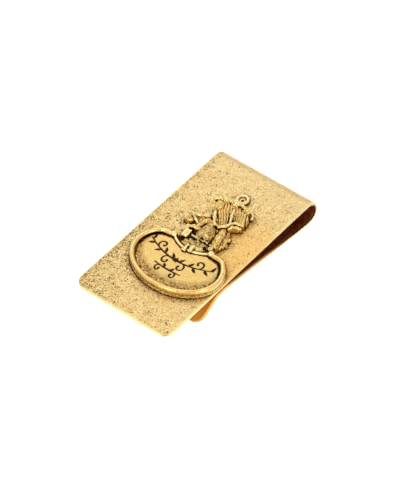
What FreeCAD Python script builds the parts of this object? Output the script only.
import FreeCAD, Part
import math
import os
from FreeCAD import Vector

# Money clip with a cast ornament.  A brass strip is bent into a front plate, a U-bend and a
# spring leg that rises to pinch the plate's underside and ends in a flared lip.  A cast oval
# plaque with a seated angel in relief is soldered to the plate.
#
# Frame: millimetres, +Z up, origin at the bottom centre of the whole clip.  X runs across
# the strip, Y along it with the bend at +Y, and the front plate is level on top.

# ---- strip ----
WIDTH = 27.0
LENGTH = 50.5
HEIGHT = 5.8
THICKNESS = 0.92
PLATE_CORNER = 2.9
LIP_CORNER = 2.6
EDGE_ROUND = 0.2
PINCH_GAP = 0.46
LEG_SLOPE = 8.0
LIP_SLOPE = 28.0
CREST_FALL = 3.0
HEEL_RADIUS = 25.0
CREST_RADIUS = 30.0
LIP_BEND_RADIUS = 3.0

HALF_WIDTH = WIDTH / 2
HALF_LENGTH = LENGTH / 2
BEND_RADIUS = HEIGHT / 2
BEND_Y = HALF_LENGTH - BEND_RADIUS
CREST_HEIGHT = HEIGHT - 2 * THICKNESS - PINCH_GAP

# ---- plaque ----
# An oval whose rear edge dips behind the figure, deepest between the rim's two ends.
PLAQUE_X = 1.65
PLAQUE_Y = -7.9
RIM_LONG = 11.8
RIM_SHORT = 8.4
REAR_DIP = 1.4
DIP_MIDDLE = 1.3
DIP_INNER = 5.2
DIP_OUTER = 9.2
OUTLINE_POINTS = 48
RIM_WIDTH = 1.1
RIM_HEIGHT = 1.9
RIM_ROUND = 0.4
RIM_OPENING = (-3.9, 6.5)
SOLDER_THICKNESS = 0.1
BASE_HEIGHT = 0.8
BASE_INSET = 0.1
FACE_HEIGHT = 1.0
KNOB_RADIUS = 0.8
SEAT_BAR_RADIUS = 0.3
SEAT_BAR_SAG = 1.9
STROKE_WIDTH = 0.35
STROKE_DEPTH = 0.12

# Smallest body worth keeping when one casting feature is fitted against another.
CRUMB_VOLUME = 0.02
# Lengths closer than this count as equal.
TINY = 1e-6


# ---- drawing helpers ----

def side_point(y, z):
    return Vector(-HALF_WIDTH, y, z)


def on_plate(x, y, rise):
    """A point at a height above the plate's top face."""
    return Vector(x, y, HEIGHT + rise)


def unit(angle_deg):
    """Unit direction in the YZ plane, 0 along +Y and 90 along +Z."""
    angle = math.radians(angle_deg)
    return Vector(0, math.cos(angle), math.sin(angle))


def trace(segments, start, heading, offset):
    """Edges of a side-view line offset towards the strip's inner face.

    Each segment is (length, 0) for a straight run or (radius, turn) for an arc, with the
    turn in degrees, positive away from the inner face.
    """
    edges = []
    here = start
    for size, turn in segments:
        inward = unit(heading - 90)
        if turn == 0:
            ahead = here + unit(heading) * size
            edges.append(Part.LineSegment(here + inward * offset, ahead + inward * offset).toShape())
            here = ahead
            continue
        side = -math.copysign(1, turn)
        centre = here + inward * (side * size)
        reach = size - side * offset
        spokes = [unit(heading + part * turn - 90) * -side for part in (0, 0.5, 1)]
        edges.append(Part.Arc(*[centre + spoke * reach for spoke in spokes]).toShape())
        here = centre + spokes[2] * size
        heading += turn
    return edges


def strip_between(outer, inner):
    """A band of strip, full width, between its outer and inner side-view edges."""
    start = Part.LineSegment(outer[0].valueAt(outer[0].FirstParameter),
                             inner[0].valueAt(inner[0].FirstParameter)).toShape()
    end = Part.LineSegment(outer[-1].valueAt(outer[-1].LastParameter),
                           inner[-1].valueAt(inner[-1].LastParameter)).toShape()
    outline = Part.Wire(Part.sortEdges(outer + [end] + inner + [start])[0])
    return Part.Face(outline).extrude(Vector(WIDTH, 0, 0))


def round_side_edges(solid):
    """Round the long edges where the strip's faces meet its two cut sides."""
    edges = []
    for edge in solid.Edges:
        along_side = max(abs(abs(corner.X) - HALF_WIDTH) for corner in edge.Vertexes) < TINY
        if along_side and edge.BoundBox.XLength < TINY and edge.Length > 2 * THICKNESS:
            edges.append(edge)
    return solid.makeFillet(EDGE_ROUND, edges).Solids[0]


def rear_dip(x):
    """How far the plaque's rear edge is drawn in at x."""
    share = (DIP_OUTER - abs(x - DIP_MIDDLE)) / (DIP_OUTER - DIP_INNER)
    share = min(max(share, 0), 1)
    return REAR_DIP * share * share * (3 - 2 * share)


def outline_point(angle, inset, rise):
    """A point on the plaque's outline, moved inwards by an inset."""
    x = PLAQUE_X + (RIM_LONG - inset) * math.cos(angle)
    y = PLAQUE_Y + (RIM_SHORT - inset) * math.sin(angle)
    if math.sin(angle) > 0:
        y -= rear_dip(x)
    return on_plate(x, y, rise)


def plaque_block(inset, low, high):
    """An upright prism on the plaque's outline, between two heights above the plate."""
    angles = [2 * math.pi * i / OUTLINE_POINTS for i in range(OUTLINE_POINTS)]
    curve = Part.BSplineCurve()
    curve.interpolate([outline_point(angle, inset, low) for angle in angles], True)
    return Part.Face(Part.Wire(curve.toShape())).extrude(Vector(0, 0, high - low))


def rim_point(x, rise):
    """A point on the rear middle line of the rim, at a given x."""
    inset = RIM_WIDTH / 2
    return outline_point(math.acos((x - PLAQUE_X) / (RIM_LONG - inset)), inset, rise)


def limb(points, radius):
    """A rounded bar through a chain of points."""
    body = Part.makeSphere(radius, points[0])
    for start, end in zip(points, points[1:]):
        run = end - start
        body = body.fuse(Part.makeCylinder(radius, run.Length, start, run))
        body = body.fuse(Part.makeSphere(radius, end))
    return body.removeSplitter()


def prism(points, low, high):
    """An upright prism on a closed outline of (x, y) points."""
    corners = [on_plate(x, y, low) for x, y in points]
    return Part.Face(Part.makePolygon(corners + corners[:1])).extrude(Vector(0, 0, high - low))


def arc_stroke(centre_x, centre_y, radius, start, end):
    """A cut line along an arc in the plaque's face, level with the face."""
    low = FACE_HEIGHT - STROKE_DEPTH
    pie = Part.makeCylinder(radius + STROKE_WIDTH / 2, STROKE_DEPTH, on_plate(centre_x, centre_y, low),
                            Vector(0, 0, 1), end - start)
    core = Part.makeCylinder(radius - STROKE_WIDTH / 2, STROKE_DEPTH,
                             on_plate(centre_x, centre_y, low))
    pie.rotate(on_plate(centre_x, centre_y, low), Vector(0, 0, 1), start)
    return pie.cut(core)


# ---- strip ----

def make_front_plate():
    """The level plate, from the front edge to the bend's upper seam."""
    length = HALF_LENGTH + BEND_Y
    plate = Part.makeBox(WIDTH, length, THICKNESS, Vector(-HALF_WIDTH, -HALF_LENGTH, HEIGHT - THICKNESS))
    corners = [edge for edge in plate.Edges
               if edge.BoundBox.ZLength > THICKNESS / 2 and edge.BoundBox.YMax < 0]
    plate = plate.makeFillet(PLATE_CORNER, corners)
    rims = [edge for edge in plate.Edges
            if edge.BoundBox.ZLength < TINY and edge.BoundBox.YMin < BEND_Y - 1]
    return plate.makeFillet(EDGE_ROUND, rims).Solids[0]


def make_u_bend():
    """The half-round bend at the rear, from the plate's end round to the strip's lowest line."""
    half_turn = [(BEND_RADIUS, -180.0)]
    start = side_point(BEND_Y, HEIGHT)
    outer = trace(half_turn, start, 0.0, 0.0)
    inner = trace(half_turn, start, 0.0, THICKNESS)
    return round_side_edges(strip_between(outer, inner))


def leg_segments():
    """Heel curve, straight leg, crest, lip bend and straight lip, in order."""
    slope = math.radians(LEG_SLOPE)
    fall = math.radians(CREST_FALL)
    lip = math.radians(LIP_SLOPE)
    heel_rise = HEEL_RADIUS * (1 - math.cos(slope))
    crest_rise = CREST_RADIUS * (1 - math.cos(slope))
    straight = (CREST_HEIGHT - heel_rise - crest_rise) / math.sin(slope)
    crest_drop = CREST_RADIUS * (1 - math.cos(fall))
    bend_drop = LIP_BEND_RADIUS * (math.cos(fall) - math.cos(lip))
    lip_length = (CREST_HEIGHT - crest_drop - bend_drop) / math.sin(lip)
    return [(HEEL_RADIUS, -LEG_SLOPE), (straight, 0), (CREST_RADIUS, LEG_SLOPE + CREST_FALL),
            (LIP_BEND_RADIUS, LIP_SLOPE - CREST_FALL), (lip_length, 0)]


def make_spring_leg():
    """The sprung leg and its flared lip, which end on the level of the bend's lowest line."""
    start = side_point(BEND_Y, 0)
    outer = trace(leg_segments(), start, 180.0, 0.0)
    inner = trace(leg_segments(), start, 180.0, THICKNESS)
    leg = strip_between(outer, inner)
    lip_end = min(leg.Vertexes, key=lambda v: v.Z).Point.y
    corners = [edge for edge in leg.Edges
               if abs(edge.Length - THICKNESS) < TINY and edge.BoundBox.YMax < lip_end + THICKNESS]
    leg = leg.makeFillet(LIP_CORNER, corners)
    return round_side_edges(leg)


# ---- plaque ----

def make_solder_film():
    return plaque_block(RIM_WIDTH, 0, SOLDER_THICKNESS)


def make_plaque_base():
    return plaque_block(BASE_INSET, SOLDER_THICKNESS, BASE_HEIGHT)


def make_plaque_rim():
    """The raised rim: a wall with a rounded top, open where the figure sits."""
    ring = plaque_block(0, BASE_HEIGHT, RIM_HEIGHT)
    ring = ring.cut(plaque_block(RIM_WIDTH, BASE_HEIGHT, RIM_HEIGHT))
    top = [edge for edge in ring.Edges if edge.BoundBox.ZMin > HEIGHT + RIM_HEIGHT - TINY]
    ring = ring.makeFillet(RIM_ROUND, top)
    left, right = RIM_OPENING
    opening = Part.makeBox(right - left, RIM_SHORT, RIM_HEIGHT, on_plate(left, PLAQUE_Y, BASE_HEIGHT))
    return ring.cut(opening)


def make_rim_knobs():
    """A ball on each end of the open rim."""
    balls = [Part.makeSphere(KNOB_RADIUS, rim_point(x, RIM_HEIGHT - KNOB_RADIUS / 2)) for x in RIM_OPENING]
    return Part.makeCompound(balls)


def make_seat_bar():
    """The thin bar that sags from knob to knob, and on which the figure sits."""
    left, right = [rim_point(x, RIM_HEIGHT - KNOB_RADIUS / 2) for x in RIM_OPENING]
    middle = (left + right) * 0.5 - Vector(0, SEAT_BAR_SAG, 0)
    path = Part.Wire([Part.Arc(left, middle, right).toShape()])
    tangent = path.Edges[0].tangentAt(path.Edges[0].FirstParameter)
    section = Part.Wire([Part.Circle(left, tangent, SEAT_BAR_RADIUS).toShape()])
    return path.makePipeShell([section], True, True)


def make_flourish():
    """The dark-filled cut lines: two sagging stems with curls, mirrored about the plaque."""
    strokes = [arc_stroke(PLAQUE_X, 6.5, 14.2, 236, 304), arc_stroke(PLAQUE_X, 1.0, 12.6, 254, 286)]
    for side in (-1, 1):
        for step, above in ((2.0, 1), (4.6, -1), (6.9, 1)):
            y = 6.5 - math.sqrt(14.2 ** 2 - step ** 2) + above * 1.0
            start = 200 if above > 0 else 60
            if side > 0:
                start = 180 - start - 250
            strokes.append(arc_stroke(PLAQUE_X + side * step, y, 0.7, start, start + 250))
    flourish = strokes[0]
    for stroke in strokes[1:]:
        flourish = flourish.fuse(stroke)
    return flourish.removeSplitter()


# ---- figure: simple rounded volumes, flat where they meet the plate ----

def make_figure_body():
    return limb([on_plate(1.6, 0.9, 0.6), on_plate(1.9, 4.4, 0.5)], 2.3)


def make_figure_head():
    return Part.makeSphere(1.8, on_plate(-0.9, 9.2, 1.2))


def make_figure_hair():
    """Two long lobes of combed hair, the near one falling lower."""
    near = limb([on_plate(1.2, 9.1, 1.0), on_plate(2.5, 6.2, 0.9)], 1.9)
    far = limb([on_plate(4.1, 9.7, 0.8), on_plate(5.3, 8.6, 0.7)], 1.75)
    return near.fuse(far)


def make_figure_cap_band():
    return limb([on_plate(-2.9, 10.9, 1.6), on_plate(1.2, 11.5, 2.0), on_plate(5.6, 12.0, 1.2)], 0.6)


def make_figure_halo():
    return Part.makeTorus(1.2, 0.42, on_plate(0.95, 14.8, 0.4))


def make_figure_left_arm():
    return limb([on_plate(-0.2, 3.6, 0.9), on_plate(-2.3, 1.3, 1.2), on_plate(-2.7, -0.6, 1.4)], 0.75)


def make_figure_right_arm():
    return limb([on_plate(4.3, 3.9, 0.8), on_plate(5.5, 0.9, 1.1), on_plate(5.4, -1.4, 1.4)], 0.85)


def make_figure_wing():
    """The folded wing behind the right arm."""
    outline = [(4.6, 4.9), (5.9, 4.6), (7.1, 3.0), (7.4, 1.4), (7.1, -0.3), (6.0, 0.0), (5.2, 2.6)]
    return prism(outline, 0, 1.2)


def make_figure_lap():
    """Folded legs, from the hips across to the knees."""
    return limb([on_plate(3.6, -1.2, 1.2), on_plate(1.2, -1.9, 1.6), on_plate(-0.6, -2.0, 1.6)], 1.2)


def make_figure_feet():
    """Two small feet that hang over the seat bar on to the plaque."""
    heels = [on_plate(0.9, -3.4, 1.7), on_plate(2.3, -2.9, 1.7)]
    return Part.makeCompound([limb([heel, heel - Vector(0, 1.3, 0.2)], 0.55) for heel in heels])


def make_figure_book():
    outline = [(-2.4, -2.0), (-1.0, -2.2), (-0.7, 0.2), (-2.1, 0.3)]
    return prism(outline, 0.6, 2.6)


def make_figure_pouch():
    """The small round bag at the figure's left side."""
    return limb([on_plate(-4.2, 3.0, 0.5), on_plate(-3.7, 3.4, 0.5)], 1.15)


# ---- fitting and writing ----

def fitted(shape, neighbours):
    """Trim a casting feature face to face against those already placed."""
    for other in neighbours:
        if shape.BoundBox.intersect(other.BoundBox):
            shape = shape.cut(other)
    kept = [solid for solid in shape.Solids if solid.Volume > CRUMB_VOLUME]
    return kept[0] if len(kept) == 1 else Part.makeCompound(kept)


def ornament_nodes():
    """The ornament's features in the order in which they rest on each other."""
    yield "plaque_base", make_plaque_base()
    yield "plaque_rim", make_plaque_rim()
    yield "rim_knobs", make_rim_knobs()
    yield "engraved_flourish", make_flourish()
    yield "plaque_face", plaque_block(RIM_WIDTH, BASE_HEIGHT, FACE_HEIGHT)
    yield "seat_bar", make_seat_bar()
    yield "figure_body", make_figure_body()
    yield "figure_head", make_figure_head()
    yield "figure_cap_band", make_figure_cap_band()
    yield "figure_hair", make_figure_hair()
    yield "figure_halo", make_figure_halo()
    yield "figure_left_arm", make_figure_left_arm()
    yield "figure_right_arm", make_figure_right_arm()
    yield "figure_book", make_figure_book()
    yield "figure_lap", make_figure_lap()
    yield "figure_feet", make_figure_feet()
    yield "figure_wing", make_figure_wing()
    yield "figure_pouch", make_figure_pouch()


def build():
    nodes = {"front_plate": make_front_plate(), "u_bend": make_u_bend(),
             "spring_leg": make_spring_leg(), "solder_film": make_solder_film()}
    below_plate = Part.makeBox(WIDTH, LENGTH, HEIGHT, Vector(-HALF_WIDTH, -HALF_LENGTH, 0))
    placed = [below_plate, nodes["solder_film"]]
    for name, shape in ornament_nodes():
        nodes[name] = fitted(shape, placed)
        placed.append(nodes[name])
    return nodes


os.makedirs("parts", exist_ok=True)
for name, shape in build().items():
    shape.exportStep("parts/" + name + ".step")
    print(name, shape.ShapeType, len(shape.Solids), shape.isValid(), round(shape.Volume, 2), shape.BoundBox)
